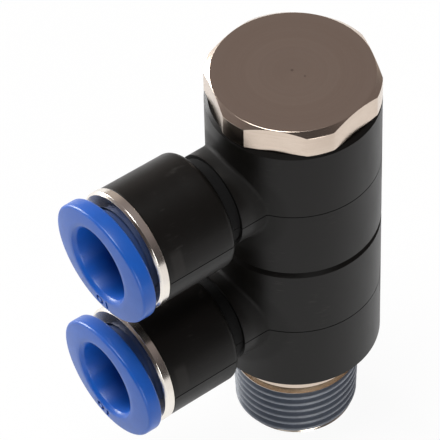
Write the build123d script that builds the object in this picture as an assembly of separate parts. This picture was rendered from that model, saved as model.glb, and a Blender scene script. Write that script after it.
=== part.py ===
"""Double swivel push-in fitting: two moulded banjo bodies on one hollow hexagon bolt.

Air comes up the bolt's bore from a taper thread, leaves through cross holes at two
levels, and goes out of each body's port to a pushed-in tube. Each body turns on the bolt
between O-rings. Millimetres, +Z up the bolt, origin at the centre of the thread's end
face, both ports pointing along -Y.
"""

import math
import os

from build123d import *

levels = ("lower", "upper")

# Clearances and gaps, which tie each piece to the one it fits
swivel_clearance = 0.06  # radial, body bore on the bolt's lands
thread_pass_clearance = 0.08  # radial, so that the bodies slide on over the thread
stack_gap = 0.1  # axial, between neighbours along the bolt
ring_gap = 0.02  # around seals and rings that fill their seat
tube_clearance = 0.1  # radial, around the tube
sleeve_clearance = 0.12  # radial, guide ring's lip round the release ring's sleeve
bead_clearance = 0.2  # radial, guide ring's chamber round the release ring's bead
bead_gap = 0.05  # axial, bead behind the guide ring's lip
recess_clearance = 0.3  # radial, body's recess round the retaining ring

# Tube
tube_radius = 5.0

# Taper thread at the bolt's end
thread_end_radius = 8.13  # over the crests at the small end
thread_length = 9.2
taper_per_side = 1 / 32  # one in sixteen on the diameter
thread_end_chamfer = 0.7
thread_relief_length = 1.2
thread_relief_depth = 0.85  # below the collar, as deep as the thread's roots

# Release ring, moulded, slides in the guide ring
sleeve_wall = 0.78
bead_height = 0.52
bead_length = 0.95
nose_wall = 0.35
nose_length = 0.7
nose_slots = 4
nose_slot_width = 0.9
nose_slot_length = 4.0
release_gap = 1.3  # between the guide ring's face and the oval flange
flange_thickness = 2.0  # at the rim
flange_crown = 0.45  # mouth in front of the oval's wide ends
flange_overhang = 0.95  # past the port's barrel at the oval's wide ends
flange_waist = 0.6  # inside the port's barrel at its narrow sides
flange_edge = 0.35
lead_in = 0.45

# Guide ring, turned metal, pressed into the port
guide_wall = 0.58
guide_band_step = 0.07  # proud of the port's barrel
guide_band_length = 1.35
guide_chamfer = 0.3
guide_barrel_length = 4.0
guide_chamber_length = 2.3
guide_barb_height = 0.2
guide_barbs = 2

# Lock claw, stamped spring strip
claw_thickness = 0.25
claw_rim_width = 0.68
claw_bite = 0.05  # tips inside the tube's surface
claw_lean_degrees = 31.5
claw_teeth = 12
claw_slot_width = 0.5

# Back ring and tube seal
back_ring_length = 1.75
back_ring_relief = 1.1
seal_length = 2.2
seal_bite = 0.1
seal_end_play = 0.2

# Port of each body
neck_length = 4.02  # from the drum's side to the shoulder
shoulder_wall = 2.3  # from the shoulder's back to the cartridge bore's floor
port_wall = 1.0
port_draft = 0.08  # smaller radius at the shoulder than at the mouth
port_mouth_chamfer = 0.2
socket_length = 3.6  # between the tube's stop and the seal
stop_ledge = 1.1
neck_groove_wall = 0.8
neck_groove_depth = 0.5
neck_groove_length = 2.1
shoulder_round = 0.9

# Banjo bodies
body_height = 21.9
body_wall = 2.7225
body_rim_chamfer = 0.45
neck_fillet = 0.6

# Hollow bolt
collar_length = 4.7  # plain shank between the thread and the lower body
bolt_bore_radius = 5.3
bolt_bore_above_port = 4.2
drill_point_degrees = 118.0
drill_tip_radius = 0.4
gallery_wall = 1.1
gallery_margin = 0.2  # gallery's half height past the port's flow passage
cross_hole_radius = 2.6
cross_holes = 4
head_height = 3.75
head_flat_depth = 0.75  # flats' middles inside the turned corners
head_chamfer_height = 0.67
head_face_inset = 0.06  # the turned chamfer just crosses the middle of each flat
head_turn_degrees = 9.95

# O-rings and retaining ring
o_ring_groove_depth = 1.45
o_ring_groove_width = 2.3
o_ring_land = 2.05  # between the gallery and each groove
o_ring_width = 1.98  # as squeezed
retaining_ring_thickness = 0.9
retaining_ring_width = 1.6
retaining_groove_depth = 0.6
retaining_ring_opening = 60.0
body_recess_depth = 1.1

# Radii that follow, from the tube outwards
tube_bore_radius = tube_radius + tube_clearance
sleeve_radius = tube_bore_radius + sleeve_wall
bead_radius = sleeve_radius + bead_height
guide_lip_radius = sleeve_radius + sleeve_clearance
guide_chamber_radius = bead_radius + bead_clearance
guide_barrel_radius = guide_chamber_radius + guide_wall
cartridge_radius = guide_barrel_radius + ring_gap
port_radius = cartridge_radius + port_wall
guide_band_radius = port_radius + guide_band_step
claw_rim_radius = guide_barrel_radius - claw_rim_width
claw_tip_radius = tube_radius - claw_bite
flow_radius = tube_bore_radius - stop_ledge
neck_groove_radius = tube_bore_radius + neck_groove_wall
neck_radius = neck_groove_radius + neck_groove_depth

# Radii that follow, from the thread outwards
thread_top_radius = thread_end_radius + thread_length * taper_per_side
land_radius = thread_top_radius + thread_pass_clearance
thread_relief_radius = land_radius - thread_relief_depth
body_bore_radius = land_radius + swivel_clearance
body_radius = body_bore_radius + body_wall
groove_floor_radius = land_radius - o_ring_groove_depth
gallery_radius = bolt_bore_radius + gallery_wall
retaining_inner_radius = land_radius - retaining_groove_depth + ring_gap
retaining_outer_radius = retaining_inner_radius + retaining_ring_width
body_recess_radius = retaining_outer_radius + recess_clearance

# Places along the port, measured outwards from the bolt's axis
shoulder_start = body_radius + neck_length
seal_floor = shoulder_start + shoulder_wall
tube_stop = seal_floor - socket_length
seal_face = seal_floor + seal_end_play + seal_length
back_ring_face = seal_face + back_ring_length
claw_face = back_ring_face + claw_thickness
port_end = claw_face + guide_barrel_length
guide_lip_start = claw_face + guide_chamber_length
guide_face = port_end + guide_band_length
flange_back = guide_face + release_gap
flange_rim = flange_back + flange_thickness
flange_face = flange_rim + flange_crown
bead_back = guide_lip_start - bead_gap
nose_end = bead_back - bead_length - nose_length
claw_lean = (claw_rim_radius - claw_tip_radius) * math.tan(math.radians(claw_lean_degrees))

# Places along the bolt
gallery_half_height = flow_radius + gallery_margin
o_ring_offset = gallery_half_height + o_ring_land + o_ring_groove_width / 2
first_body_bottom = thread_length + collar_length
body_pitch = body_height + stack_gap
head_bottom = first_body_bottom + len(levels) * body_pitch
overall_height = head_bottom + head_height


def body_bottom(index):
    """Height of the underside of the body at this place in the stack."""
    return first_body_bottom + index * body_pitch


def port_height(index):
    """Height of the port's axis of the body at this place in the stack."""
    return body_bottom(index) + body_height / 2


def o_ring_heights(index):
    """Heights of the two O-rings below and above the port at this level."""
    return [port_height(index) + side * o_ring_offset for side in (-1, 1)]


def turned(points):
    """Solid of revolution about Z from (radius, height) points."""
    outline = Polyline(*[(r, 0, z) for r, z in points], close=True)
    return revolve(make_face(outline), axis=Axis.Z)


def ring(inner, outer, low, high):
    """Plain ring about Z."""
    return turned([(inner, low), (outer, low), (outer, high), (inner, high)])


def rod(radius, low, high):
    """Plain cylinder about Z."""
    return turned([(0, low), (radius, low), (radius, high), (0, high)])


def at_port(shape, index):
    """Moves a piece drawn about Z, outwards up, onto the port at this level."""
    plane = Plane(origin=(0, 0, port_height(index)), x_dir=(1, 0, 0), z_dir=(0, -1, 0))
    return plane.location * shape


def body_drum():
    """Upright drum of the banjo body with its rims chamfered."""
    drum = rod(body_radius, -body_height / 2, body_height / 2)
    return chamfer(drum.edges().filter_by(GeomType.CIRCLE), body_rim_chamfer)


def port_barrel():
    """Neck, groove, shoulder and barrel of the port about Z, outwards up."""
    shoulder_radius = port_radius - port_draft
    neck_end = shoulder_start - neck_groove_length
    barrel = turned(
        [
            (0, 0),
            (neck_radius, 0),
            (neck_radius, neck_end),
            (neck_groove_radius, neck_end),
            (neck_groove_radius, shoulder_start),
            (shoulder_radius, shoulder_start),
            (port_radius, port_end - port_mouth_chamfer),
            (port_radius - port_mouth_chamfer, port_end),
            (0, port_end),
        ]
    )
    at_shoulder = barrel.edges().filter_by(GeomType.CIRCLE).filter_by_position(
        Axis.Z, shoulder_start - 0.01, shoulder_start + 0.01
    )
    return fillet(at_shoulder.sort_by(SortBy.RADIUS)[-1], shoulder_round)


def port_bore():
    """Stepped hollow of the port about Z: flow passage, tube socket, cartridge bore."""
    return (
        rod(flow_radius, 0, tube_stop + 1)
        + rod(tube_bore_radius, tube_stop, seal_floor + 1)
        + rod(cartridge_radius, seal_floor, port_end + 1)
    )


def body_outside():
    """Drum and port joined, with the moulded fillet where the neck meets the drum."""
    outside = body_drum() + Plane.XZ.location * port_barrel()
    joint = [e for e in outside.edges() if e.geom_type not in (GeomType.CIRCLE, GeomType.LINE)]
    return fillet(joint, neck_fillet)


def banjo_body(index):
    """One moulded body. Both are the same moulding."""
    half = body_height / 2
    hollow = rod(body_bore_radius, -half - 1, half + 1)
    hollow += rod(body_recess_radius, -half - 1, -half + body_recess_depth)
    hollow += Plane.XZ.location * port_bore()
    return Pos(0, 0, port_height(index)) * (body_outside() - hollow)


def guide_ring():
    """Metal ring at the mouth: visible band, barbed barrel, lip that keeps the release ring."""
    root = guide_barrel_radius - guide_barb_height
    barb = guide_barrel_length / (guide_barbs + 1)
    outline = [(guide_chamber_radius, claw_face), (root, claw_face)]
    for n in range(guide_barbs):
        start = claw_face + (n + 0.3) * barb
        tip = start + 0.6 * barb
        outline += [(root, start), (guide_barrel_radius, tip), (root, tip)]
    outline += [
        (root, port_end - 0.8 * barb),
        (guide_barrel_radius, port_end - 0.8 * barb),
        (guide_barrel_radius, port_end),
        (guide_band_radius, port_end),
        (guide_band_radius, guide_face - guide_chamfer),
        (guide_band_radius - guide_chamfer, guide_face),
        (guide_lip_radius + guide_chamfer, guide_face),
        (guide_lip_radius, guide_face - guide_chamfer),
        (guide_lip_radius, guide_lip_start),
        (guide_chamber_radius, guide_lip_start),
    ]
    return turned(outline)


def release_flange():
    """Oval flange about Z with a coned front, eased rims and the tube's lead-in."""
    oval = Ellipse(port_radius + flange_overhang, port_radius - flange_waist)
    blank = Pos(0, 0, flange_back) * extrude(oval, flange_face - flange_back)
    mouth_radius = tube_bore_radius + lead_in
    crown = turned(
        [
            (0, flange_back - 1),
            (port_radius + flange_overhang, flange_back - 1),
            (port_radius + flange_overhang, flange_rim),
            (mouth_radius, flange_face),
            (0, flange_face),
        ]
    )
    flange = blank & crown
    rims = [e for e in flange.edges() if e.geom_type not in (GeomType.CIRCLE, GeomType.LINE)]
    flange = chamfer(rims, flange_edge)
    mouth = turned(
        [
            (0, flange_back - 1),
            (tube_bore_radius, flange_back - 1),
            (tube_bore_radius, flange_face - lead_in),
            (mouth_radius, flange_face),
            (mouth_radius, flange_face + 1),
            (0, flange_face + 1),
        ]
    )
    return flange - mouth


def release_ring():
    """Oval-flanged collet that opens the claw when it is pressed in."""
    inside_flange = flange_back + flange_thickness / 2
    sleeve = turned(
        [
            (tube_bore_radius, nose_end),
            (tube_bore_radius + nose_wall, nose_end),
            (bead_radius, nose_end + nose_length),
            (bead_radius, bead_back),
            (sleeve_radius, bead_back),
            (sleeve_radius, inside_flange),
            (tube_bore_radius, inside_flange),
        ]
    )
    slot = Box(2 * bead_radius + 2, nose_slot_width, nose_slot_length)
    for n in range(nose_slots // 2):
        turn = Rot(0, 0, 45 + n * 360 / nose_slots)
        sleeve -= Pos(0, 0, nose_end + nose_slot_length / 2) * turn * slot
    return sleeve + release_flange()


def lock_claw():
    """Thin toothed ring: flat rim held by its edge, teeth leaning away from the mouth."""
    claw = turned(
        [
            (claw_rim_radius, back_ring_face),
            (guide_barrel_radius, back_ring_face),
            (guide_barrel_radius, claw_face),
            (claw_rim_radius, claw_face),
            (claw_tip_radius, claw_face - claw_lean),
            (claw_tip_radius, back_ring_face - claw_lean),
        ]
    )
    slot_end = claw_rim_radius - claw_slot_width
    cutter = Box(slot_end, claw_slot_width, 3 * claw_lean)
    slot = Pos(slot_end / 2, 0, back_ring_face - claw_lean / 2) * cutter
    for n in range(claw_teeth):
        claw -= Rot(0, 0, n * 360 / claw_teeth) * slot
    return claw


def back_ring():
    """Moulded spacer between seal and claw, dished so that the teeth can open."""
    inner = tube_bore_radius + ring_gap
    return turned(
        [
            (inner, seal_face),
            (guide_barrel_radius, seal_face),
            (guide_barrel_radius, back_ring_face),
            (claw_rim_radius + ring_gap, back_ring_face),
            (inner, back_ring_face - back_ring_relief),
        ]
    )


def tube_seal():
    """Rubber cup seal with its groove towards the pressure side."""
    low = seal_face - seal_length
    high = seal_face - ring_gap
    middle = (guide_barrel_radius + tube_bore_radius) / 2
    lip = tube_radius - seal_bite
    return turned(
        [
            (tube_bore_radius + ring_gap, low),
            (middle - 0.4, low),
            (middle - 0.15, low + 0.35 * seal_length),
            (middle + 0.15, low + 0.35 * seal_length),
            (middle + 0.4, low),
            (guide_barrel_radius, low),
            (guide_barrel_radius, high),
            (tube_bore_radius + 0.4, high),
            (lip + ring_gap, low + 0.6 * seal_length),
            (lip, low + 0.35 * seal_length),
        ]
    )


def o_ring(height):
    """O-ring, flattened where its groove's floor and the body's bore squeeze it."""
    inner = groove_floor_radius
    outer = body_bore_radius - ring_gap
    side = o_ring_width / 2
    edge = 0.3 * (outer - inner)
    flat = side - edge
    return turned(
        [
            (inner, height - flat),
            (inner + edge, height - side),
            (outer - edge, height - side),
            (outer, height - flat),
            (outer, height + flat),
            (outer - edge, height + side),
            (inner + edge, height + side),
            (inner, height + flat),
        ]
    )


def retaining_groove():
    """Lower and upper height of the bolt's groove for the retaining ring."""
    high = body_bottom(0) + body_recess_depth - stack_gap
    return high - retaining_ring_thickness - 2 * ring_gap, high


def retaining_ring():
    """Split spring ring under the lower body, which keeps the stack on the bolt."""
    low, high = retaining_groove()
    hoop = ring(retaining_inner_radius, retaining_outer_radius, low + ring_gap, high - ring_gap)
    reach = 2 * retaining_outer_radius
    corner = reach * math.sin(math.radians(retaining_ring_opening / 2))
    notch = make_face(Polyline((0, 0), (reach, -corner), (reach, corner), close=True))
    return hoop - Pos(0, 0, low - 1) * extrude(notch, high - low + 2)


def bolt_head():
    """Hexagon with its corners turned to the bodies' diameter and a turned chamfer on top."""
    flat_radius = body_radius - head_flat_depth
    blank = turned(
        [
            (0, head_bottom),
            (body_radius, head_bottom),
            (body_radius, overall_height - head_chamfer_height),
            (flat_radius - head_face_inset, overall_height),
            (0, overall_height),
        ]
    )
    hexagon = Rot(0, 0, head_turn_degrees + 30) * RegularPolygon(flat_radius, 6, major_radius=False)
    return blank & Pos(0, 0, head_bottom) * extrude(hexagon, head_height)


def bolt_bore():
    """Blind drilled bore with the drill's point."""
    end = port_height(len(levels) - 1) + bolt_bore_above_port
    point = (bolt_bore_radius - drill_tip_radius) / math.tan(math.radians(drill_point_degrees / 2))
    return turned(
        [
            (0, -1),
            (bolt_bore_radius, -1),
            (bolt_bore_radius, end),
            (drill_tip_radius, end + point),
            (0, end + point),
        ]
    )


def banjo_bolt():
    """Hollow bolt, one turned piece: thread, relief, collar, lands, galleries and head."""
    bolt = turned(
        [
            (0, 0),
            (thread_end_radius - thread_end_chamfer, 0),
            (thread_end_radius + thread_end_chamfer * taper_per_side, thread_end_chamfer),
            (thread_top_radius, thread_length),
            (thread_relief_radius, thread_length),
            (thread_relief_radius, thread_length + thread_relief_length),
            (land_radius, thread_length + thread_relief_length),
            (land_radius, head_bottom),
            (0, head_bottom),
        ]
    )
    bolt += bolt_head()
    past = land_radius + 1
    low, high = retaining_groove()
    bolt -= ring(land_radius - retaining_groove_depth, past, low, high)
    for index in range(len(levels)):
        level = port_height(index)
        bolt -= ring(gallery_radius, past, level - gallery_half_height, level + gallery_half_height)
        for height in o_ring_heights(index):
            half = o_ring_groove_width / 2
            bolt -= ring(groove_floor_radius, past, height - half, height + half)
        hole = Pos(0, 0, level) * Rot(0, 90, 0) * Cylinder(cross_hole_radius, 2 * past)
        for n in range(cross_holes // 2):
            bolt -= Rot(0, 0, 45 + n * 360 / cross_holes) * hole
    return bolt - bolt_bore()


def pieces():
    """Every piece of the fitting by its name."""
    made = {"banjo_bolt": banjo_bolt(), "retaining_ring": retaining_ring()}
    for index, level in enumerate(levels):
        made[f"{level}_body"] = banjo_body(index)
        for place, height in zip(("bottom", "top"), o_ring_heights(index)):
            made[f"{level}_{place}_o_ring"] = o_ring(height)
        made[f"{level}_guide_ring"] = at_port(guide_ring(), index)
        made[f"{level}_release_ring"] = at_port(release_ring(), index)
        made[f"{level}_lock_claw"] = at_port(lock_claw(), index)
        made[f"{level}_back_ring"] = at_port(back_ring(), index)
        made[f"{level}_tube_seal"] = at_port(tube_seal(), index)
    return made


os.makedirs("parts", exist_ok=True)
for name, piece in pieces().items():
    export_step(piece, f"parts/{name}.step")
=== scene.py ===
"""Looks of a double swivel push-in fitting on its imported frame.

Each sub-assembly is a class that holds its sizes in millimetres, shapes its meshes with
bmesh operators and dresses them in procedural finishes. The studio is a white floor, a
soft world that is darker overhead, and wide lamps.
"""

import logging
import math
from dataclasses import dataclass
from enum import Enum
from typing import Callable, Dict, List, Optional, Sequence, Tuple, Union

import bmesh
import bpy
from mathutils import Matrix, Vector


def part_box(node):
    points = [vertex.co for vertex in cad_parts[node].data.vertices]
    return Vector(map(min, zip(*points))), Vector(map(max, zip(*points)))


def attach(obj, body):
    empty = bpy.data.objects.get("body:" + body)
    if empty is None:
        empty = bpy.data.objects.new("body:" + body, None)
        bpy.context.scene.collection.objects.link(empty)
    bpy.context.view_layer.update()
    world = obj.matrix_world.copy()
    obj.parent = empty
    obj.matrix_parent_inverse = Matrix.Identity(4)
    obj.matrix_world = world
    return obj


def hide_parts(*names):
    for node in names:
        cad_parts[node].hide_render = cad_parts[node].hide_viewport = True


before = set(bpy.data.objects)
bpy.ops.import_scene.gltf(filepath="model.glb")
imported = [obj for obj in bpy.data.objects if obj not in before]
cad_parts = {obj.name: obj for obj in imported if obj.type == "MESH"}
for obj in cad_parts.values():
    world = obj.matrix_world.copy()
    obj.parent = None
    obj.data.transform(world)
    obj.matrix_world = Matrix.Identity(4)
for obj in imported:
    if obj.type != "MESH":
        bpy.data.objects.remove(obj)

LOG = logging.getLogger("fitting")
MM = 0.001
Colour = Tuple[float, float, float]
Number = Union[int, float]
Station = Callable[[float], Tuple[float, float, float]]


class Level(Enum):
    """The two banjo bodies, named as in the frame."""

    LOWER = "lower"
    UPPER = "upper"

    @property
    def port_height(self) -> float:
        """Height of this body's port axis in millimetres."""
        low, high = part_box(f"{self.value}_guide_ring")
        return (low.z + high.z) / 2 / MM

    @property
    def swivel(self) -> str:
        """The body that turns on the bolt."""
        return f"{self.value}_swivel"

    @property
    def collet(self) -> str:
        """The body that slides in the port's mouth."""
        return f"{self.value}_collet"

    @property
    def placement(self) -> Matrix:
        """Matrix from a piece drawn about Z, outwards up, to this port, in metres."""
        return Matrix(
            (
                (1.0, 0.0, 0.0, 0.0),
                (0.0, 0.0, -1.0, 0.0),
                (0.0, 1.0, 0.0, self.port_height * MM),
                (0.0, 0.0, 0.0, 1.0),
            )
        )


class Slot(Enum):
    """The record's material slots."""

    PLATED_BRASS = "plated_brass"
    NYLON = "nylon"
    GUIDE_METAL = "guide_metal"
    RELEASE_PLASTIC = "release_plastic"
    SPRING_STEEL = "spring_steel"
    INNER_PLASTIC = "inner_plastic"
    SEAL_RUBBER = "seal_rubber"


class Term:
    """A shader value that adds and multiplies like a number and builds its nodes."""

    def __init__(self, shader: "Shader", socket: bpy.types.NodeSocket) -> None:
        """Wraps one output socket.

        Args:
            shader: The shader whose tree the socket belongs to.
            socket: The output socket.
        """
        self.shader = shader
        self.socket = socket

    def _math(self, operation: str, *others: Union["Term", Number], swap: bool = False) -> "Term":
        """Adds one Math node.

        Args:
            operation: The Math node's operation.
            others: The other operands.
            swap: Puts this value second.

        Returns:
            The node's value.
        """
        values = [self, *others]
        if swap:
            values = values[::-1]
        node = self.shader.node("ShaderNodeMath", {"operation": operation}, dict(enumerate(values)))
        return Term(self.shader, node.outputs[0])

    def __add__(self, other: Union["Term", Number]) -> "Term":
        """Sum."""
        return self._math("ADD", other)

    __radd__ = __add__

    def __sub__(self, other: Union["Term", Number]) -> "Term":
        """Difference."""
        return self._math("SUBTRACT", other)

    def __rsub__(self, other: Number) -> "Term":
        """Number minus this value."""
        return self._math("SUBTRACT", other, swap=True)

    def __mul__(self, other: Union["Term", Number]) -> "Term":
        """Product."""
        return self._math("MULTIPLY", other)

    __rmul__ = __mul__

    def __truediv__(self, other: Union["Term", Number]) -> "Term":
        """Quotient."""
        return self._math("DIVIDE", other)

    def __pow__(self, other: Number) -> "Term":
        """Power."""
        return self._math("POWER", other)

    def __abs__(self) -> "Term":
        """Magnitude."""
        return self._math("ABSOLUTE")

    def root(self) -> "Term":
        """Square root."""
        return self._math("SQRT")

    def wave(self) -> "Term":
        """Sine."""
        return self._math("SINE")

    def least(self, other: Union["Term", Number]) -> "Term":
        """The smaller of the two."""
        return self._math("MINIMUM", other)

    def most(self, other: Union["Term", Number]) -> "Term":
        """The larger of the two."""
        return self._math("MAXIMUM", other)

    def ease(self, start: Number, end: Number) -> "Term":
        """Smooth step from 0 at start to 1 at end.

        Args:
            start: Value that gives 0.
            end: Value that gives 1.

        Returns:
            The eased mask.
        """
        node = self.shader.node(
            "ShaderNodeMapRange",
            {"interpolation_type": "SMOOTHSTEP", "clamp": True},
            {"Value": self, "From Min": start, "From Max": end},
        )
        return Term(self.shader, node.outputs["Result"])

    def within(self, centre: Number, half: Number, soft: Number) -> "Term":
        """Mask of a band round one value.

        Args:
            centre: Middle of the band.
            half: Half its width.
            soft: Width of its soft edge.

        Returns:
            1 inside the band and 0 outside.
        """
        return abs(self - centre).ease(half + soft, half)


class Shader:
    """A material's or a world's node tree, written as expressions."""

    def __init__(self, owner: Union[bpy.types.Material, bpy.types.World]) -> None:
        """Empties the tree of a material or a world.

        Args:
            owner: What the tree belongs to.
        """
        owner.use_nodes = True
        self.owner = owner
        self.tree = owner.node_tree
        self.tree.nodes.clear()
        self._position: Optional[Tuple[Term, Term, Term]] = None

    @classmethod
    def named(cls, name: str) -> "Shader":
        """Shader of a new material."""
        return cls(bpy.data.materials.new(name))

    def node(
        self,
        kind: str,
        settings: Optional[Dict[str, object]] = None,
        inputs: Optional[Dict[Union[str, int], object]] = None,
    ) -> bpy.types.Node:
        """Adds a node.

        Args:
            kind: The node's type.
            settings: Its properties; "stops" are a colour ramp's (place, colour) pairs.
            inputs: Values or terms for its sockets, by name or number.

        Returns:
            The node.
        """
        node = self.tree.nodes.new(kind)
        for key, value in (settings or {}).items():
            if key == "stops":
                self._stops(node, value)
            else:
                setattr(node, key, value)
        for key, value in (inputs or {}).items():
            if isinstance(value, Term):
                self.tree.links.new(value.socket, node.inputs[key])
            else:
                node.inputs[key].default_value = value
        return node

    @staticmethod
    def _stops(node: bpy.types.Node, stops: Sequence[Tuple[float, Colour]]) -> None:
        """Sets a colour ramp's stops.

        Args:
            node: The ramp.
            stops: (place, colour) pairs in order.
        """
        elements = node.color_ramp.elements
        while len(elements) < len(stops):
            elements.new(1.0)
        for element, (place, colour) in zip(elements, stops):
            element.position = place
            element.color = (*colour, 1.0)

    @property
    def place(self) -> Tuple[Term, Term, Term]:
        """Object coordinates in millimetres, as three terms."""
        if self._position is None:
            coordinate = self.node("ShaderNodeTexCoord")
            scaled = self.node(
                "ShaderNodeVectorMath",
                {"operation": "SCALE"},
                {0: Term(self, coordinate.outputs["Object"]), "Scale": 1 / MM},
            )
            split = self.node("ShaderNodeSeparateXYZ", None, {0: Term(self, scaled.outputs[0])})
            self._position = tuple(Term(self, out) for out in split.outputs)
        return self._position

    def vector(self, x: object, y: object, z: object) -> Term:
        """Vector of three values or terms."""
        node = self.node("ShaderNodeCombineXYZ", None, {0: x, 1: y, 2: z})
        return Term(self, node.outputs[0])

    def noise(self, at: Term, scale: float, detail: float = 2.0, roughness: float = 0.5) -> Term:
        """Noise from 0 to 1.

        Args:
            at: Where it is read.
            scale: Bumps per unit.
            detail: Octaves.
            roughness: Strength of the finer octaves.

        Returns:
            The noise value.
        """
        node = self.node(
            "ShaderNodeTexNoise",
            None,
            {"Vector": at, "Scale": scale, "Detail": detail, "Roughness": roughness},
        )
        return Term(self, node.outputs[0])

    def blend(self, mask: Term, low: Union[Term, Colour], high: Union[Term, Colour]) -> Term:
        """Mixes two colours.

        Args:
            mask: 0 gives low and 1 gives high.
            low: First colour.
            high: Second colour.

        Returns:
            The mixed colour.
        """
        values = [value if isinstance(value, Term) else (*value, 1.0) for value in (low, high)]
        node = self.node(
            "ShaderNodeMix",
            {"data_type": "RGBA"},
            {0: mask, 6: values[0], 7: values[1]},
        )
        return Term(self, node.outputs[2])

    def bump(self, height: Term, depth_mm: float, below: Optional[Term] = None) -> Term:
        """Normal bent by a height.

        Args:
            height: Height from 0 to 1.
            depth_mm: What 1 means in millimetres.
            below: A normal to build on.

        Returns:
            The normal.
        """
        inputs: Dict[Union[str, int], object] = {"Height": height, "Distance": depth_mm * MM, "Strength": 1.0}
        if below is not None:
            inputs["Normal"] = below
        node = self.node("ShaderNodeBump", None, inputs)
        return Term(self, node.outputs[0])

    def finish(self, **inputs: object) -> bpy.types.Material:
        """Ends the tree with a Principled shader.

        Args:
            inputs: Its sockets, with underscores for spaces.

        Returns:
            The material.
        """
        named = {key.replace("_", " "): value for key, value in inputs.items()}
        surface = self.node("ShaderNodeBsdfPrincipled", None, named)
        output = self.node("ShaderNodeOutputMaterial")
        self.tree.links.new(surface.outputs[0], output.inputs["Surface"])
        return self.owner


class Spindle(Enum):
    """The axis that a turned piece was made on."""

    BOLT = "bolt"
    LOWER_PORT = "lower"
    UPPER_PORT = "upper"

    @staticmethod
    def of(level: Level) -> "Spindle":
        """The spindle along a body's port."""
        return Spindle(level.value)

    def radius_and_height(self, shader: Shader) -> Tuple[Term, Term]:
        """Distance from the axis and place along it, in millimetres.

        Args:
            shader: The shader that reads them.

        Returns:
            The two terms.
        """
        x, y, z = shader.place
        if self is Spindle.BOLT:
            return (x * x + y * y).root(), z
        across = z - Level(self.value).port_height
        return (x * x + across * across).root(), y * -1.0


@dataclass(frozen=True)
class Spot:
    """A round patch with a soft rim, in millimetres."""

    x: float
    y: float
    radius: float
    fade: float

    def mask(self, x: Term, y: Term) -> Term:
        """1 inside the patch and 0 outside.

        Args:
            x: Place along X.
            y: Place along Y.

        Returns:
            The mask.
        """
        off = ((x - self.x) * (x - self.x) + (y - self.y) * (y - self.y)).root()
        return off.ease(self.radius + self.fade, self.radius)


@dataclass(frozen=True)
class TurnedBrass:
    """Nickel-plated brass with the fine rings that the lathe leaves."""

    name: str
    spindle: Spindle
    colour: Colour = (0.72, 0.615, 0.52)
    tarnish: Colour = (0.64, 0.53, 0.44)
    mark_depth_mm: float = 0.003
    mark_scale: float = 4.0
    roughness: float = 0.2
    dents: Tuple[Spot, ...] = ()

    def material(self) -> bpy.types.Material:
        """Builds the material.

        Returns:
            The material.
        """
        shader = Shader.named(self.name)
        radius, height = self.spindle.radius_and_height(shader)
        x, y, z = shader.place
        rings = shader.noise(shader.vector(radius, height, 0.0), self.mark_scale, 3.0, 0.7)
        slow = shader.noise(shader.vector(radius, height, 0.0), 0.9, 1.0)
        patches = shader.noise(shader.vector(x, y, z), 0.35, 3.0)
        grain = shader.noise(shader.vector(x, y, z), 9.0, 2.0)
        shade = (patches * 0.35 + slow * 0.35 + rings * 0.5).ease(0.35, 0.85)
        normal = shader.bump(rings, self.mark_depth_mm)
        normal = shader.bump(grain, 0.0015, normal)
        colour = shader.blend(shade, self.colour, self.tarnish)
        for dent in self.dents:
            colour = shader.blend(dent.mask(x, y) * 0.6, colour, (0.2, 0.15, 0.12))
        return shader.finish(
            Base_Color=colour,
            Metallic=1.0,
            Roughness=self.roughness + rings * 0.08 + patches * 0.05,
            Normal=normal,
        )


@dataclass(frozen=True)
class SealedThread:
    """Thread under a blue-grey coat of dried sealant, worn thin on its crests."""

    name: str
    crest_radius_mm: float
    taper: float
    coat: Colour = (0.085, 0.1, 0.128)
    crest: Colour = (0.27, 0.295, 0.335)
    bare: Colour = (0.68, 0.61, 0.52)
    bare_below_mm: float = 0.95
    bare_above_mm: float = 9.0

    def material(self) -> bpy.types.Material:
        """Builds the material.

        Returns:
            The material.
        """
        shader = Shader.named(self.name)
        radius, height = Spindle.BOLT.radius_and_height(shader)
        x, y, z = shader.place
        at = shader.vector(x, y, z)
        depth = height * self.taper + self.crest_radius_mm - radius
        rub = shader.noise(at, 1.3, 3.0)
        crest = depth.ease(0.2, 0.02) * (rub * 0.7 + 0.45)
        edge = shader.noise(at, 0.8, 2.0) * 0.5
        bare = ((height - edge).ease(self.bare_below_mm - 0.25, self.bare_below_mm - 0.45)).most(
            (height + edge).ease(self.bare_above_mm + 0.15, self.bare_above_mm + 0.4)
        )
        mottled = shader.blend(
            shader.noise(at, 2.2, 3.0),
            self.coat,
            tuple(1.35 * part for part in self.coat),
        )
        coated = shader.blend(crest.least(1.0), mottled, self.crest)
        lumps = shader.noise(at, 3.0, 3.0)
        return shader.finish(
            Base_Color=shader.blend(bare, coated, self.bare),
            Metallic=bare,
            Roughness=0.38 - bare * 0.12 - crest * 0.06,
            Normal=shader.bump(lumps, 0.02),
        )


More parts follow.
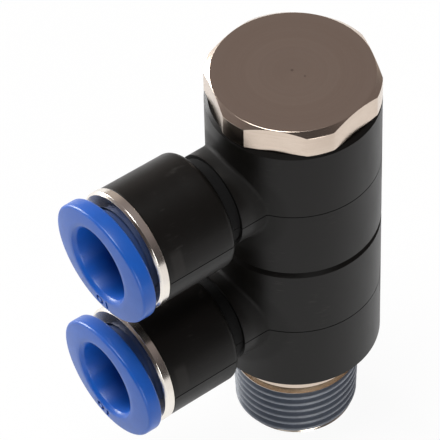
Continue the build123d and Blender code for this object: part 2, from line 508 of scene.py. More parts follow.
@dataclass(frozen=True)
class MouldedNylon:
    """Black glass-filled nylon with a fine spark texture, the mould's parting line and gate, and painted shade in
    the parting line and the neck groove.
    """

    name: str
    parting_mm: float
    colour: Colour = (0.0045, 0.004, 0.0034)
    worn: Colour = (0.03, 0.028, 0.026)
    # Painted shade colour, laid on the parting line and in the neck groove.
    painted_shade: Colour = (0.0015, 0.0015, 0.0015)
    roughness: float = 0.29
    line_half_mm: float = 0.06
    drum_mm: float = 11.28
    groove_mm: float = 14.25
    gate_mm: float = 24.3

    def material(self) -> bpy.types.Material:
        """Builds the material.

        Returns:
            The material.
        """
        shader = Shader.named(self.name)
        x, y, z = shader.place
        at = shader.vector(x, y, z)
        grain = shader.noise(at, 7.0, 3.0, 0.6)
        flow = shader.noise(shader.vector(x * 0.6, y * 0.6, z * 0.25), 0.5, 3.0)
        scratch = shader.noise(shader.vector(x * 0.6 + z * 2.0, y * 0.6 - z, z * 6.0), 0.9, 4.0)
        wear = (scratch * 0.8 + flow * 0.4).ease(0.72, 0.86)
        rise = z - self.parting_mm
        # Parting line mask; the base colour below paints shade into its groove.
        line = rise.within(0.0, self.line_half_mm, 0.05)
        off = (x * x + rise * rise).root()
        # Neck groove mask; the base colour below paints the shade that falls in the groove.
        groove = (y * -1.0).within(self.groove_mm, 1.0, 0.1) * off.ease(6.6, 6.3)
        reach = (x * x + y * y).root()
        root = reach.ease(self.drum_mm - 0.1, self.drum_mm + 0.1) * reach.ease(13.6, 12.2) * off.ease(9.0, 8.0)
        gate = (y * -1.0).within(self.gate_mm, 0.6, 0.5) * rise.within(2.3, 1.3, 0.9) * x.ease(0.0, 1.0)
        colour = shader.blend(wear * 0.6, self.colour, self.worn)
        colour = shader.blend(gate * 0.35, colour, self.worn)
        normal = shader.bump(grain, 0.012)
        return shader.finish(
            # Painted shade: the parting line and the neck groove are darkened towards a near-black shade colour.
            Base_Color=shader.blend((line * 0.8).most(groove), colour, self.painted_shade),
            Metallic=0.0,
            Roughness=(
                self.roughness
                + flow * 0.12
                + grain * 0.06
                + wear * 0.1
                + gate * 0.1
                + root * 0.25
                + (line * 0.4).most(groove * 0.4)
            ),
            Specular_IOR_Level=0.2,
            Normal=normal,
        )


@dataclass(frozen=True)
class MouldedAcetal:
    """Blue moulded plastic of the release rings, slightly glossy and evenly coloured, with painted shade on the
    sleeve behind the flange.
    """

    name: str
    spindle: Spindle
    colour: Colour = (0.007, 0.1, 0.46)
    deep: Colour = (0.005, 0.075, 0.38)
    # Painted shade colour for the sleeve behind the flange.
    painted_gap_shade: Colour = (0.002, 0.022, 0.1)
    flange_back_mm: float = 28.65
    bore_mm: float = 5.1
    roughness: float = 0.26

    def material(self) -> bpy.types.Material:
        """Builds the material.

        Returns:
            The material.
        """
        shader = Shader.named(self.name)
        x, y, z = shader.place
        at = shader.vector(x, y, z)
        cloud = shader.noise(at, 0.5, 3.0)
        grain = shader.noise(at, 6.0, 3.0)
        radius, height = self.spindle.radius_and_height(shader)
        sleeve = radius.ease(self.bore_mm + 0.25, self.bore_mm + 0.6) * radius.ease(8.6, 6.6)
        # Painted shade on the sleeve and the flange's back, standing in for the shade in the gap behind the
        # flange.
        shade_behind_flange = height.ease(self.flange_back_mm + 0.1, self.flange_back_mm) * sleeve
        return shader.finish(
            # Painted shade is blended in behind the flange.
            Base_Color=shader.blend(shade_behind_flange, shader.blend(cloud, self.colour, self.deep), self.painted_gap_shade),
            Metallic=0.0,
            Roughness=self.roughness + cloud * 0.1 + grain * 0.05 + shade_behind_flange * 0.3,
            Normal=shader.bump(grain, 0.006),
        )


@dataclass(frozen=True)
class StripSteel:
    """Stamped spring strip with a fine rolled grain."""

    name: str
    colour: Colour = (0.60, 0.60, 0.58)

    def material(self) -> bpy.types.Material:
        """Builds the material.

        Returns:
            The material.
        """
        shader = Shader.named(self.name)
        x, y, z = shader.place
        rolled = shader.noise(shader.vector(x * 0.3, y, z * 3.0), 6.0, 3.0)
        return shader.finish(
            Base_Color=shader.blend(rolled, self.colour, tuple(0.8 * part for part in self.colour)),
            Metallic=1.0,
            Roughness=0.28 + rolled * 0.12,
            Normal=shader.bump(rolled, 0.003),
        )


@dataclass(frozen=True)
class PlainMoulding:
    """Small moulded or rubber piece inside the port."""

    name: str
    colour: Colour
    roughness: float
    grain_mm: float

    def material(self) -> bpy.types.Material:
        """Builds the material.

        Returns:
            The material.
        """
        shader = Shader.named(self.name)
        x, y, z = shader.place
        at = shader.vector(x, y, z)
        cloud = shader.noise(at, 0.8, 3.0)
        grain = shader.noise(at, 6.0, 2.0)
        return shader.finish(
            Base_Color=shader.blend(cloud, self.colour, tuple(0.8 * part for part in self.colour)),
            Metallic=0.0,
            Roughness=self.roughness + cloud * 0.1,
            Normal=shader.bump(grain, self.grain_mm),
        )


class Blank:
    """A mesh under work, in millimetres, that becomes an object at the origin."""

    def __init__(self) -> None:
        """Starts an empty mesh."""
        self.mesh = bmesh.new()

    def turn(self, outline: Sequence[Tuple[float, float]], segments: int) -> "Blank":
        """Turns a closed outline a full circle about Z.

        Args:
            outline: (radius, height) points in order.
            segments: Steps round the circle.

        Returns:
            This blank.
        """
        points = [self.mesh.verts.new((radius, 0.0, height)) for radius, height in outline]
        lines = [self.mesh.edges.new(pair) for pair in zip(points, points[1:] + points[:1])]
        bmesh.ops.spin(
            self.mesh,
            geom=points + lines,
            cent=(0.0, 0.0, 0.0),
            axis=(0.0, 0.0, 1.0),
            dvec=(0.0, 0.0, 0.0),
            angle=2 * math.pi,
            steps=segments,
            use_merge=True,
            use_normal_flip=False,
            use_duplicate=False,
        )
        return self

    def loft(
        self,
        stations: Sequence[Station],
        segments: int,
        start: float = 0.0,
        closed: bool = False,
        caps: bool = False,
    ) -> "Blank":
        """Carries one loop of vertices through a row of stations.

        Args:
            stations: Functions from the turn angle to a point, one for each loop.
            segments: Vertices in a loop.
            start: Turn angle of the first vertex.
            closed: Joins the last loop to the first.
            caps: Fills the first and the last loop.

        Returns:
            This blank.
        """
        made = bmesh.ops.create_circle(self.mesh, cap_ends=False, segments=segments, radius=1.0)
        loop: List[bmesh.types.BMVert] = made["verts"]
        angles = [start + 2 * math.pi * n / segments for n in range(segments)]
        first = loop
        for number, station in enumerate(stations):
            if number:
                loop = self._next_loop(loop)
            for vertex, angle in zip(loop, angles):
                vertex.co = station(angle)
            if caps and number in (0, len(stations) - 1):
                bmesh.ops.contextual_create(self.mesh, geom=loop)
        if closed:
            bmesh.ops.bridge_loops(self.mesh, edges=self._loop_edges(first) + self._loop_edges(loop))
        return self

    def _loop_edges(self, loop: Sequence[bmesh.types.BMVert]) -> List[bmesh.types.BMEdge]:
        """The edges between neighbours of a loop."""
        pairs = zip(loop, [*loop[1:], loop[0]])
        return [self.mesh.edges.get(pair) for pair in pairs]

    def _next_loop(self, loop: Sequence[bmesh.types.BMVert]) -> List[bmesh.types.BMVert]:
        """Extrudes a loop in place.

        Args:
            loop: Its vertices in order.

        Returns:
            The new loop's vertices in the same order.
        """
        edges = self._loop_edges(loop)
        made = bmesh.ops.extrude_edge_only(self.mesh, edges=edges)
        fresh = {item for item in made["geom"] if isinstance(item, bmesh.types.BMVert)}
        return [
            next(edge.other_vert(vertex) for edge in vertex.link_edges if edge.other_vert(vertex) in fresh)
            for vertex in loop
        ]

    def trim(self, height: float, keep_above: bool) -> "Blank":
        """Cuts the mesh by a level plane.

        Args:
            height: The plane's height.
            keep_above: Keeps what is above it, or else what is below.

        Returns:
            This blank.
        """
        everything = self.mesh.verts[:] + self.mesh.edges[:] + self.mesh.faces[:]
        bmesh.ops.bisect_plane(
            self.mesh,
            geom=everything,
            dist=1e-5,
            plane_co=(0.0, 0.0, height),
            plane_no=(0.0, 0.0, 1.0),
            clear_outer=not keep_above,
            clear_inner=keep_above,
        )
        return self

    def slice(self, height: float) -> "Blank":
        """Adds a level row of edges at a height."""
        everything = self.mesh.verts[:] + self.mesh.edges[:] + self.mesh.faces[:]
        bmesh.ops.bisect_plane(
            self.mesh, geom=everything, dist=1e-5, plane_co=(0.0, 0.0, height), plane_no=(0.0, 0.0, 1.0)
        )
        return self

    def open_edges(self, height: float) -> List[bmesh.types.BMEdge]:
        """The open edges that lie at this height."""
        return [
            edge
            for edge in self.mesh.edges
            if edge.is_boundary and all(abs(vertex.co.z - height) < 1e-3 for vertex in edge.verts)
        ]

    def place(self, matrix: Matrix) -> "Blank":
        """Moves the mesh by a matrix in metres, once it is scaled to metres."""
        for vertex in self.mesh.verts:
            vertex.co = matrix @ (vertex.co * MM) / MM
        return self

    def object(self, name: str, smooth_degrees: float = 32.0) -> bpy.types.Object:
        """Ends the work.

        Args:
            name: The object's name.
            smooth_degrees: Edges sharper than this stay sharp.

        Returns:
            The object, in metres, at the origin.
        """
        bmesh.ops.remove_doubles(self.mesh, verts=self.mesh.verts, dist=1e-5)
        bmesh.ops.scale(self.mesh, vec=(MM, MM, MM), verts=self.mesh.verts)
        bmesh.ops.recalc_face_normals(self.mesh, faces=self.mesh.faces)
        data = bpy.data.meshes.new(name)
        self.mesh.to_mesh(data)
        self.mesh.free()
        data.polygons.foreach_set("use_smooth", [True] * len(data.polygons))
        data.set_sharp_from_angle(angle=math.radians(smooth_degrees))
        made = bpy.data.objects.new(name, data)
        bpy.context.scene.collection.objects.link(made)
        return made


def copy_of(node: str) -> Blank:
    """A merged copy of a frame node's mesh, in millimetres.

    Args:
        node: The node's name.

    Returns:
        The copy.
    """
    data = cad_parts[node].data.copy()
    stored = data.attributes.get("custom_normal")
    if stored:
        data.attributes.remove(stored)
    blank = Blank()
    blank.mesh.from_mesh(data)
    bpy.data.meshes.remove(data)
    bmesh.ops.scale(blank.mesh, vec=(1 / MM,) * 3, verts=blank.mesh.verts)
    bmesh.ops.remove_doubles(blank.mesh, verts=blank.mesh.verts, dist=1e-4)
    return blank


def round_edges(piece: bpy.types.Object, width_mm: float, segments: int = 3) -> None:
    """Rounds a piece's sharp edges.

    Args:
        piece: The object.
        width_mm: Width of the rounding.
        segments: Steps across it.
    """
    bevel = piece.modifiers.new("edges", "BEVEL")
    bevel.width = width_mm * MM
    bevel.segments = segments
    bevel.limit_method = "ANGLE"
    bevel.angle_limit = math.radians(32.0)
    bevel.harden_normals = True


def settle(
    piece: bpy.types.Object,
    body: str,
    slot: Slot,
    material: bpy.types.Material,
    *replaced: str,
) -> bpy.types.Object:
    """Dresses a piece, puts it on its body and reports it.

    Args:
        piece: The object.
        body: The body that it rides on.
        slot: The record's slot that its finish belongs to; not used.
        material: Its finish.
        replaced: The nodes that it stands for.

    Returns:
        The piece.
    """
    piece.data.materials.clear()
    piece.data.materials.append(material)
    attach(piece, body)
    if replaced:
        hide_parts(*replaced)
    LOG.info("%s on %s, %d faces", piece.name, body, len(piece.data.polygons))
    return piece


def dress(node: str, material: bpy.types.Material) -> None:
    """Gives a frame node that stays its finish.

    Args:
        node: The node's name.
        material: The finish.
    """
    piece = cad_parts[node]
    piece.data.materials.clear()
    piece.data.materials.append(material)
    LOG.info("%s keeps its frame mesh", node)


@dataclass
class BanjoBolt:
    """The hollow bolt: hexagon head, stem inside the bodies and sealed taper thread."""

    head_bottom: float = 57.9
    head_top: float = 61.65
    turned_radius: float = 11.28
    flat_radius: float = 10.53
    face_radius: float = 10.47
    chamfer_height: float = 0.67
    head_turn: float = 9.95
    pip_radius: float = 0.3
    pip_depth: float = 0.015
    bore_radius: float = 5.3
    thread_top: float = 9.2
    relief_radius: float = 7.6475
    joint: float = 9.8
    crest_radius: float = 8.13
    taper: float = 1 / 32
    pitch: float = 1.337
    thread_depth: float = 0.62
    crest_height: float = 7.95
    crest_bearing: float = -36.3
    end_chamfer: float = 0.7
    fade: float = 0.3
    steps: int = 72

    def _corner(self, angle: float) -> float:
        """Radius of the head's side at a bearing.

        Args:
            angle: Bearing from +X in radians.

        Returns:
            The radius of the flat or of the turned corner there.
        """
        off = (math.degrees(angle) - self.head_turn + 30.0) % 60.0 - 30.0
        return min(self.flat_radius / math.cos(math.radians(off)), self.turned_radius)

    def head(self) -> bpy.types.Object:
        """Hexagon with turned corners, a turned chamfer and a faced top with its pip."""

        def side(height: float) -> Station:
            """Station on the flats and corners at a height."""
            return lambda t: (self._corner(t) * math.cos(t), self._corner(t) * math.sin(t), height)

        def shoulder(t: float) -> Tuple[float, float, float]:
            """Station where the chamfer cuts the side."""
            radius = self._corner(t)
            slope = self.chamfer_height / (self.turned_radius - self.face_radius)
            return radius * math.cos(t), radius * math.sin(t), self.head_top - slope * (radius - self.face_radius)

        def circle(radius: float, height: float) -> Station:
            """Round station."""
            return lambda t: (radius * math.cos(t), radius * math.sin(t), height)

        stations = [
            side(self.head_bottom),
            shoulder,
            circle(self.face_radius, self.head_top),
            circle(0.6 * self.face_radius, self.head_top),
            circle(2 * self.pip_radius, self.head_top),
            circle(self.pip_radius, self.head_top - self.pip_depth),
        ]
        blank = Blank().loft(stations, 120, math.radians(self.head_turn), caps=True)
        head = blank.object("bolt_head", 14.0)
        round_edges(head, 0.06)
        return head

    def stem(self) -> bpy.types.Object:
        """The bolt between the thread and the head, with its galleries and grooves."""
        blank = copy_of("banjo_bolt").trim(self.joint, True).trim(self.head_bottom, False)
        bmesh.ops.bridge_loops(blank.mesh, edges=blank.open_edges(self.joint))
        bmesh.ops.holes_fill(blank.mesh, edges=blank.open_edges(self.head_bottom), sides=0)
        return blank.object("bolt_stem")

    def thread(self) -> bpy.types.Object:
        """Right-handed taper thread with its run-out, end chamfer and bore."""
        blank = Blank()
        start = self.crest_height - self.pitch * (8 + self.crest_bearing / 360.0)
        shape = [math.cos(2 * math.pi * n / 12) for n in range(13)]
        points = [
            blank.mesh.verts.new(
                (
                    self.crest_radius - self.thread_depth * (0.5 - 0.5 * level * (1.25 - 0.25 * level * level)),
                    0.0,
                    start + self.pitch * n / 12,
                )
            )
            for n, level in enumerate(shape)
        ]
        lines = [blank.mesh.edges.new(pair) for pair in zip(points, points[1:])]
        turns = 10
        bmesh.ops.spin(
            blank.mesh,
            geom=points + lines,
            cent=(0.0, 0.0, 0.0),
            axis=(0.0, 0.0, 1.0),
            dvec=(0.0, 0.0, self.pitch / self.steps),
            angle=2 * math.pi * turns,
            steps=self.steps * turns,
            use_merge=False,
            use_normal_flip=False,
            use_duplicate=False,
        )
        bmesh.ops.remove_doubles(blank.mesh, verts=blank.mesh.verts, dist=1e-3)
        blank.trim(self.thread_top, False).trim(0.0, True)
        for vertex in blank.mesh.verts:
            self._shape_crest(vertex)
        walls = (
            (0.0, self.bore_radius, 0.0),
            (self.thread_top, self.relief_radius, self.thread_top),
            (self.thread_top, self.relief_radius, self.joint),
            (self.joint, self.bore_radius, self.joint),
        )
        for start_height, radius, end_height in walls:
            self._draw_out(blank, start_height, radius, end_height)
        bmesh.ops.bridge_loops(blank.mesh, edges=blank.open_edges(0.0) + blank.open_edges(self.joint))
        return blank.object("taper_thread", 50.0)

    @staticmethod
    def _draw_out(blank: Blank, start: float, radius: float, end: float) -> None:
        """Extrudes the open rim at one height to a new radius and height.

        Args:
            blank: The thread under work.
            start: Height of the open rim.
            radius: Radius that it is drawn to.
            end: Height that it is drawn to.
        """
        made = bmesh.ops.extrude_edge_only(blank.mesh, edges=blank.open_edges(start))
        for item in made["geom"]:
            if isinstance(item, bmesh.types.BMVert):
                reach = math.hypot(item.co.x, item.co.y)
                item.co = (item.co.x * radius / reach, item.co.y * radius / reach, end)

    def _shape_crest(self, vertex: bmesh.types.BMVert) -> None:
        """Gives one vertex of the thread its taper, run-out and end chamfer.

        Args:
            vertex: The vertex, moved in place.
        """
        reach = math.hypot(vertex.co.x, vertex.co.y)
        height = vertex.co.z
        sunk = self.crest_radius - reach
        out = min(max((self.thread_top - height) / self.fade, 0.0), 1.0)
        radius = self.crest_radius + self.taper * height - sunk * out * out * (3 - 2 * out)
        radius = min(radius, self.crest_radius - self.end_chamfer + height)
        vertex.co.x *= radius / reach
        vertex.co.y *= radius / reach

    def build(self) -> None:
        """Makes and dresses the bolt."""
        brass = TurnedBrass("turned_brass_bolt", Spindle.BOLT).material()
        dents = (Spot(-0.26, 0.05, 0.06, 0.2), Spot(1.57, 0.67, 0.05, 0.16))
        faced = TurnedBrass("faced_brass_head", Spindle.BOLT, roughness=0.13, dents=dents).material()
        sealed = SealedThread("sealed_thread", self.crest_radius, self.taper).material()
        settle(self.head(), "stem", Slot.PLATED_BRASS, faced, "banjo_bolt")
        settle(self.stem(), "stem", Slot.PLATED_BRASS, brass)
        settle(self.thread(), "stem", Slot.PLATED_BRASS, sealed)
        dress("retaining_ring", StripSteel("retaining_steel").material())


@dataclass
class Port:
    """What is pressed into and slides in one body's port."""

    level: Level
    bore: float = 5.1
    mouth: float = 5.55
    nose_wall: float = 0.35
    nose: float = 22.6
    nose_top: float = 23.3
    bead: float = 6.4
    bead_back: float = 24.25
    sleeve: float = 5.88
    flange_back: float = 28.65
    flange_face: float = 31.1
    crown: float = 0.45
    crown_reach: float = 3.6
    crown_power: float = 1.6
    half_width: float = 9.15
    half_height: float = 7.6
    edge: float = 0.35
    lead: float = 0.45
    number: str = "10"
    number_box: Tuple[float, float] = (2.4, 1.25)
    number_radius: float = 6.42
    number_turn: float = 4.0
    number_depth: float = 0.3
    slot_width: float = 0.9
    slot_end: float = 26.6
    band: float = 8.27
    band_back: float = 26.0
    band_face: float = 27.35
    band_edge: float = 0.3
    lip: float = 6.0
    lip_start: float = 24.3
    chamber: float = 6.6
    barrel: float = 7.18
    barrel_root: float = 6.98
    barrel_start: float = 22.0
    segments: int = 96

    def release_ring(self) -> bpy.types.Object:
        """Oval-flanged collet with rounded edges, a slotted nose and the tube size cut in."""

        def circle(radius: float, height: float) -> Station:
            """Round station."""
            return lambda t: (radius * math.cos(t), radius * math.sin(t), height)

        turns = [math.radians(angle) for angle in (0, 22, 45, 68, 90)]
        stations = [
            circle(self.bore, self.nose),
            circle(self.bore + self.nose_wall, self.nose),
            circle(self.bead, self.nose_top),
            circle(self.bead, self.bead_back),
            circle(self.sleeve, self.bead_back),
            circle(self.sleeve, self.flange_back),
            *[self._back_rim(turn) for turn in turns],
            *[self._front_rim(turn) for turn in reversed(turns)],
            *[self._dome(part) for part in (0.9, 0.75, 0.5, 0.25, 0.05)],
            circle(self.mouth, self.flange_face - 0.04),
            circle(self.bore + 0.05, self.flange_face - self.lead),
            circle(self.bore, self.flange_face - self.lead - 0.12),
        ]
        blank = Blank().loft(stations, self.segments, closed=True)
        ring = blank.place(self.level.placement).object(f"{self.level.value}_collet_ring", 30.0)
        return cut(ring, [self._slots(), self._number()])

    def _oval(self, t: float, inset: float) -> Tuple[float, float]:
        """Point of the flange's oval, drawn in by an inset."""
        return (self.half_width - inset) * math.cos(t), (self.half_height - inset) * math.sin(t)

    def _front(self, x: float, y: float) -> float:
        """Height of the domed front over a point of the flange."""
        reach = max(math.hypot(x, y) - self.mouth, 0.0) / self.crown_reach
        return self.flange_face - self.crown * reach**self.crown_power

    def _back_rim(self, turn: float) -> Station:
        """Station round the flange's back edge."""
        inset = self.edge * (1 - math.sin(turn))
        height = self.flange_back + self.edge * (1 - math.cos(turn))
        return lambda t: (*self._oval(t, inset), height)

    def _front_rim(self, turn: float) -> Station:
        """Station round the flange's front edge, which follows the dome."""
        inset = self.edge * (1 - math.sin(turn))
        sunk = self.edge * (1 - math.cos(turn))

        def station(t: float) -> Tuple[float, float, float]:
            """Point of the front edge."""
            x, y = self._oval(t, inset)
            return x, y, self._front(*self._oval(t, self.edge)) - sunk

        return station

    def _dome(self, part: float) -> Station:
        """Station on the domed front, part of the way from the mouth to the rim."""

        def station(t: float) -> Tuple[float, float, float]:
            """Point of the front."""
            far_x, far_y = self._oval(t, self.edge)
            x = self.mouth * math.cos(t) * (1 - part) + far_x * part
            y = self.mouth * math.sin(t) * (1 - part) + far_y * part
            return x, y, self._front(x, y)

        return station

    def _slots(self) -> bpy.types.Object:
        """Two crossed bars that slot the nose."""
        blank = Blank()
        for turn in (45.0, 135.0):
            made = bmesh.ops.create_cube(blank.mesh, size=1.0)
            size = (2 * self.bead + 2, self.slot_width, 2 * (self.slot_end - self.nose))
            bmesh.ops.scale(blank.mesh, vec=size, verts=made["verts"])
            spin = Matrix.Rotation(math.radians(turn), 3, "Z")
            bmesh.ops.rotate(blank.mesh, cent=(0, 0, 0), matrix=spin, verts=made["verts"])
            bmesh.ops.translate(blank.mesh, vec=(0, 0, self.nose), verts=made["verts"])
        return blank.place(self.level.placement).object("slots_cutter")

    def _number(self) -> bpy.types.Object:
        """The tube size in millimetres, as a solid that cuts into the flange's face."""
        curve = bpy.data.curves.new("number", "FONT")
        curve.body = self.number
        curve.align_x = "CENTER"
        curve.align_y = "CENTER"
        curve.extrude = 0.5
        curve.offset = 0.02
        text = bpy.data.objects.new("number", curve)
        bpy.context.scene.collection.objects.link(text)
        bpy.context.view_layer.update()
        data = bpy.data.meshes.new_from_object(text.evaluated_get(bpy.context.evaluated_depsgraph_get()))
        bpy.data.objects.remove(text)
        blank = Blank()
        blank.mesh.from_mesh(data)
        points = [vertex.co for vertex in blank.mesh.verts]
        low = [min(point[axis] for point in points) for axis in range(2)]
        high = [max(point[axis] for point in points) for axis in range(2)]
        middle = Vector(((low[0] + high[0]) / 2, (low[1] + high[1]) / 2, 0.0))
        bmesh.ops.translate(blank.mesh, vec=-middle, verts=blank.mesh.verts)
        scale = (self.number_box[0] / (high[0] - low[0]), self.number_box[1] / (high[1] - low[1]), 1.0)
        bmesh.ops.scale(blank.mesh, vec=scale, verts=blank.mesh.verts)
        face = self._front(0.0, -self.number_radius)
        shift = (0.0, self.number_radius, face - self.number_depth + 0.5)
        bmesh.ops.translate(blank.mesh, vec=shift, verts=blank.mesh.verts)
        spin = Matrix.Rotation(math.radians(180.0 + self.number_turn), 3, "Z")
        bmesh.ops.rotate(blank.mesh, cent=(0, 0, 0), matrix=spin, verts=blank.mesh.verts)
        return blank.place(self.level.placement).object("number_cutter")

    def guide_ring(self) -> bpy.types.Object:
        """Turned metal ring that closes the port's mouth."""
        outline = [
            (self.chamber, self.barrel_start),
            (self.barrel_root, self.barrel_start),
            (self.barrel_root, self.barrel_start + 2.9),
            (self.barrel, self.barrel_start + 2.95),
            (self.barrel, self.band_back),
            (self.band, self.band_back),
            (self.band, self.band_face - self.band_edge),
            (self.band - self.band_edge, self.band_face),
            (self.lip + self.band_edge, self.band_face),
            (self.lip, self.band_face - self.band_edge),
            (self.lip, self.lip_start),
            (self.chamber, self.lip_start),
        ]
        blank = Blank().turn(outline, self.segments)
        ring = blank.place(self.level.placement).object(f"{self.level.value}_band")
        round_edges(ring, 0.05, 2)
        return ring

    def build(self) -> None:
        """Makes and dresses the port's pieces."""
        name = self.level.value
        metal = TurnedBrass(
            f"turned_nickel_{name}",
            Spindle.of(self.level),
            colour=(0.92, 0.88, 0.82),
            tarnish=(0.84, 0.78, 0.70),
            mark_depth_mm=0.002,
            roughness=0.12,
        ).material()
        blue = MouldedAcetal(f"blue_acetal_{name}", Spindle.of(self.level)).material()
        settle(self.guide_ring(), self.level.swivel, Slot.GUIDE_METAL, metal, f"{name}_guide_ring")
        settle(self.release_ring(), self.level.collet, Slot.RELEASE_PLASTIC, blue, f"{name}_release_ring")
        dress(f"{name}_lock_claw", StripSteel(f"claw_steel_{name}").material())
        dress(
            f"{name}_back_ring",
            PlainMoulding(f"back_ring_{name}", (0.42, 0.42, 0.38), 0.45, 0.006).material(),
        )
        dress(
            f"{name}_tube_seal",
            PlainMoulding(f"tube_seal_{name}", (0.018, 0.018, 0.018), 0.4, 0.004).material(),
        )


def cut(piece: bpy.types.Object, cutters: Sequence[bpy.types.Object]) -> bpy.types.Object:
    """Cuts solids out of a piece and removes them.

    Args:
        piece: The piece, whose mesh is exchanged for the cut one.
        cutters: The solids.

    Returns:
        The piece.
    """
    for cutter in cutters:
        difference = piece.modifiers.new("cut", "BOOLEAN")
        difference.operation = "DIFFERENCE"
        difference.solver = "EXACT"
        difference.object = cutter
    bpy.context.view_layer.update()
    graph = bpy.context.evaluated_depsgraph_get()
    data = bpy.data.meshes.new_from_object(piece.evaluated_get(graph))
    piece.modifiers.clear()
    piece.data = data
    for cutter in cutters:
        bpy.data.objects.remove(cutter)
    data.polygons.foreach_set("use_smooth", [True] * len(data.polygons))
    data.set_sharp_from_angle(angle=math.radians(30.0))
    return piece


@dataclass
class SwivelBody:
    """One moulded banjo body with its O-rings."""

    level: Level
    drum_radius: float = 11.28
    neck_inside: float = 5.6
    barrel_inside: float = 7.3
    shoulder: float = 15.35
    line_half: float = 0.065
    line_depth: float = 0.11

    def _outside(self, point: Vector) -> bool:
        """Whether a point at the port's height is on the moulding's outer skin."""
        if point.y < -self.shoulder:
            return abs(point.x) > self.barrel_inside
        if math.hypot(point.x, point.y) > self.drum_radius + 0.01:
            return abs(point.x) > self.neck_inside
        return math.hypot(point.x, point.y) > self.drum_radius - 0.1

    def moulding(self) -> bpy.types.Object:
        """The body with the mould's parting line as a fine groove round it."""
        height = self.level.port_height
        blank = copy_of(f"{self.level.value}_body")
        for rise in (-self.line_half, 0.0, self.line_half):
            blank.slice(height + rise)
        blank.mesh.normal_update()
        line = [
            vertex
            for vertex in blank.mesh.verts
            if abs(vertex.co.z - height) < 1e-3 and self._outside(vertex.co)
        ]
        for vertex in line:
            vertex.co -= Vector((vertex.normal.x, vertex.normal.y, 0.0)) * self.line_depth
        return blank.object(f"{self.level.value}_moulding")

    def build(self) -> None:
        """Makes and dresses the body."""
        name = self.level.value
        nylon = MouldedNylon(f"black_nylon_{name}", self.level.port_height).material()
        settle(self.moulding(), self.level.swivel, Slot.NYLON, nylon, f"{name}_body")
        rubber = PlainMoulding(f"o_ring_{name}", (0.016, 0.016, 0.016), 0.38, 0.003).material()
        dress(f"{name}_top_o_ring", rubber)
        dress(f"{name}_bottom_o_ring", rubber)


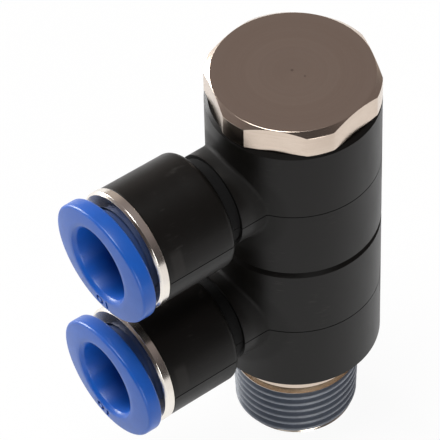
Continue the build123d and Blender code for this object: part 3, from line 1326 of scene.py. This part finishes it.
@dataclass
class Studio:
    """White floor, soft world, wide lamps and the camera."""

    floor_size: float = 6.0
    focal_pixels: float = 4252.6
    frame_pixels: int = 440
    sensor: float = 36.0
    target: Tuple[float, float, float] = (0.921, -12.642, 43.507)
    distance: float = 539.52
    azimuth: float = 53.70
    elevation: float = 47.52
    roll: float = -1.61
    sky: Colour = (0.205, 0.174, 0.17)
    haze: Colour = (0.27, 0.26, 0.255)
    dark_side: float = 0.25
    glow: Colour = (0.46, 0.4, 0.36)
    sheet: Spot = Spot(-12.0, 0.0, 57.0, 22.0)
    # Painted contact shadow round the foot, seen only in the floor's reflections.
    painted_contact_shadow: Spot = Spot(0.0, 0.0, 9.0, 9.0)
    # Painted dark patch on the far side of the fitting, seen only in the floor's reflections.
    painted_reflection_shade: Spot = Spot(-52.0, 14.0, 14.0, 14.0)
    table: float = 0.2

    def floor(self) -> None:
        """Pale floor, white to the camera and in reflections, which keeps the shadow; its reflections carry a
        painted contact shadow round the foot and a painted dark patch on the far side.
        """
        mesh = bmesh.new()
        bmesh.ops.create_grid(mesh, x_segments=1, y_segments=1, size=self.floor_size / 2)
        data = bpy.data.meshes.new("floor")
        mesh.to_mesh(data)
        mesh.free()
        floor = bpy.data.objects.new("floor", data)
        bpy.context.scene.collection.objects.link(floor)
        floor.location.z = -0.0002
        shader = Shader.named("floor_white")
        plain = shader.node("ShaderNodeBsdfDiffuse", None, {"Color": (0.85, 0.85, 0.85, 1.0)})
        glow = shader.node("ShaderNodeEmission", None, {"Color": (1.0, 1.0, 1.0, 1.0), "Strength": 1.0})
        path = shader.node("ShaderNodeLightPath")
        mirrored = Term(shader, path.outputs["Is Glossy Ray"]).most(
            Term(shader, path.outputs["Is Transmission Ray"])
        )
        x, y, _ = shader.place
        sheet = self.sheet.mask(x, y)
        # Painted shade in the floor's reflections: a contact shadow round the foot and a dark patch on the far
        # side.
        for dark in (self.painted_contact_shadow, self.painted_reflection_shade):
            sheet = sheet * (1.0 - dark.mask(x, y))
        shown = mirrored * (sheet * (1.0 - self.table) + self.table)
        seen = Term(shader, path.outputs["Is Camera Ray"]).most(shown)
        mixed = shader.node(
            "ShaderNodeMixShader",
            None,
            {0: seen * 0.94, 1: Term(shader, plain.outputs[0]), 2: Term(shader, glow.outputs[0])},
        )
        output = shader.node("ShaderNodeOutputMaterial")
        shader.tree.links.new(mixed.outputs[0], output.inputs["Surface"])
        floor.data.materials.append(shader.owner)

    def world(self) -> None:
        """Soft light from all round, darker overhead, and white where the camera sees it."""
        world = bpy.data.worlds.new("studio")
        bpy.context.scene.world = world
        shader = Shader(world)
        coordinate = shader.node("ShaderNodeTexCoord")
        split = shader.node("ShaderNodeSeparateXYZ", None, {0: Term(shader, coordinate.outputs["Generated"])})
        x, y, up = (Term(shader, part) for part in split.outputs)
        colour = shader.blend(up.ease(0.0, 0.3), self.haze, self.sky)
        shade = (x * 0.8 - y * 0.6).ease(0.1, 0.55)
        dark = tuple(self.dark_side * part for part in self.sky)
        colour = shader.blend(shade, colour, dark)
        beside = (y * 0.4 - x * 0.9 - up * 0.6).ease(0.25, 0.75)
        colour = shader.blend(beside, colour, self.glow)
        path = shader.node("ShaderNodeLightPath")
        seen = Term(shader, path.outputs["Is Camera Ray"])
        background = shader.node(
            "ShaderNodeBackground", None, {0: shader.blend(seen, colour, (1.0, 1.0, 1.0)), 1: 1.0}
        )
        output = shader.node("ShaderNodeOutputWorld")
        shader.tree.links.new(background.outputs[0], output.inputs["Surface"])

    def lamp(self, name: str, place: Tuple[float, float, float], size: float, power: float) -> None:
        """Adds a wide lamp that points at the fitting.

        Args:
            name: The lamp's name.
            place: Where it stands, in metres.
            size: Its side in metres.
            power: Its power in watts.
        """
        light = bpy.data.lights.new(name, "AREA")
        light.shape = "SQUARE"
        light.size = size
        light.energy = power
        lamp = bpy.data.objects.new(name, light)
        lamp.location = place
        aim = Vector((0.0, -0.01, 0.03)) - Vector(place)
        lamp.rotation_euler = aim.to_track_quat("-Z", "Y").to_euler()
        bpy.context.scene.collection.objects.link(lamp)

    def camera(self) -> None:
        """Camera at the photograph's angle."""
        azimuth, elevation, roll = (math.radians(v) for v in (self.azimuth, self.elevation, self.roll))
        back = Vector(
            (
                math.sin(azimuth) * math.cos(elevation),
                -math.cos(azimuth) * math.cos(elevation),
                math.sin(elevation),
            )
        )
        level = Vector((math.cos(azimuth), math.sin(azimuth), 0.0))
        rise = back.cross(level)
        right = level * math.cos(roll) + rise * math.sin(roll)
        up = rise * math.cos(roll) - level * math.sin(roll)
        data = bpy.data.cameras.new("camera")
        data.sensor_width = self.sensor
        data.lens = self.focal_pixels * self.sensor / self.frame_pixels
        data.clip_start = 0.05
        data.clip_end = 20.0
        camera = bpy.data.objects.new("camera", data)
        bpy.context.scene.collection.objects.link(camera)
        turn = Matrix((right, up, back)).transposed().to_4x4()
        place = (Vector(self.target) + back * self.distance) * MM
        camera.matrix_world = Matrix.Translation(place) @ turn
        bpy.context.scene.camera = camera

    def build(self) -> None:
        """Sets the whole studio."""
        self.floor()
        self.world()
        self.lamp("right", (0.94, -0.28, 0.3), 0.45, 4.0)
        self.lamp("left", (-0.97, -0.22, 0.22), 0.45, 10.0)
        self.lamp("top", (-0.12, -0.2, 1.08), 0.5, 9.0)
        self.camera()
        bpy.context.scene.view_settings.view_transform = "Standard"


def main() -> None:
    """Builds the fitting and the studio."""
    logging.basicConfig(level=logging.INFO, format="%(message)s")
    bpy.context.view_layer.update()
    BanjoBolt().build()
    for level, turn in ((Level.LOWER, -7.0), (Level.UPPER, 4.0)):
        SwivelBody(level).build()
        Port(level, number_turn=turn).build()
    Studio().build()


if __name__ == "__main__":
    main()
